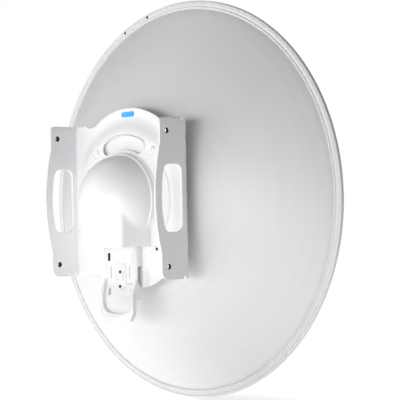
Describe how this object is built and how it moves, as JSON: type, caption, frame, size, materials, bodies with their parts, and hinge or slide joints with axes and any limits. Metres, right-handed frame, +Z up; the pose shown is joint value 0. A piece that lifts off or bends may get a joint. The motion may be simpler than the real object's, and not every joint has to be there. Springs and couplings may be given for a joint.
{
  "type": "microwave dish antenna",
  "caption": "Round parabolic dish antenna with a folded pole bracket, hand slots, a domed radio cover over a cradle behind the reflector, and a feed in front.",
  "frame": {"origin": "on the outer face of the bracket's right-hand wing, level with the dish's axis, between the hand slot and the fold", "axes": "+Y is the direction the dish looks in, +Z up, +X to the right as seen from behind, which is the outward normal of the right-hand wing"},
  "size_m": [0.65, 0.2872, 0.65],
  "materials": {
    "painted_aluminium": "satin powder coat on spun aluminium",
    "powder_coat": "satin powder coat on folded steel",
    "white_plastic": "fine satin moulded plastic",
    "steel": "zinc plated",
    "dark_steel": "blackened",
    "cast_alloy": "as cast and machined",
    "anodised": "clear anodised",
    "dielectric": "natural moulded plastic",
    "blue_enamel": "plain blue, nothing on it"
  },
  "bodies": {
    "root": {"badge": "blue_enamel", "bracket_screw_lower_left": "dark_steel", "bracket_screw_lower_right": "dark_steel", "bracket_screw_upper_left": "dark_steel", "bracket_screw_upper_right": "dark_steel", "clamp_strip": "white_plastic", "cradle_foot": "white_plastic", "cradle_screw_lower": "dark_steel", "cradle_screw_upper": "dark_steel", "cradle_support": "white_plastic", "feed_cone": "dielectric", "feed_flange": "cast_alloy", "feed_screw_1": "steel", "feed_screw_2": "steel", "feed_screw_3": "steel", "feed_screw_4": "steel", "feed_tube": "anodised", "hub_bolt_1": "steel", "hub_bolt_2": "steel", "hub_bolt_3": "steel", "hub_bolt_4": "steel", "hub_plate": "painted_aluminium", "hub_ring": "cast_alloy", "mount_bracket": "powder_coat", "radio_cover": "white_plastic", "radio_cradle": "white_plastic", "reflector": "painted_aluminium", "reflector_bolt_lower_left": "steel", "reflector_bolt_lower_right": "steel", "reflector_bolt_upper_left": "steel", "reflector_bolt_upper_right": "steel", "splash_plate": "white_plastic", "standoff_lower_left": "steel", "standoff_lower_right": "steel", "standoff_upper_left": "steel", "standoff_upper_right": "steel", "waveguide_adapter": "cast_alloy"}
  },
  "joints": []
}
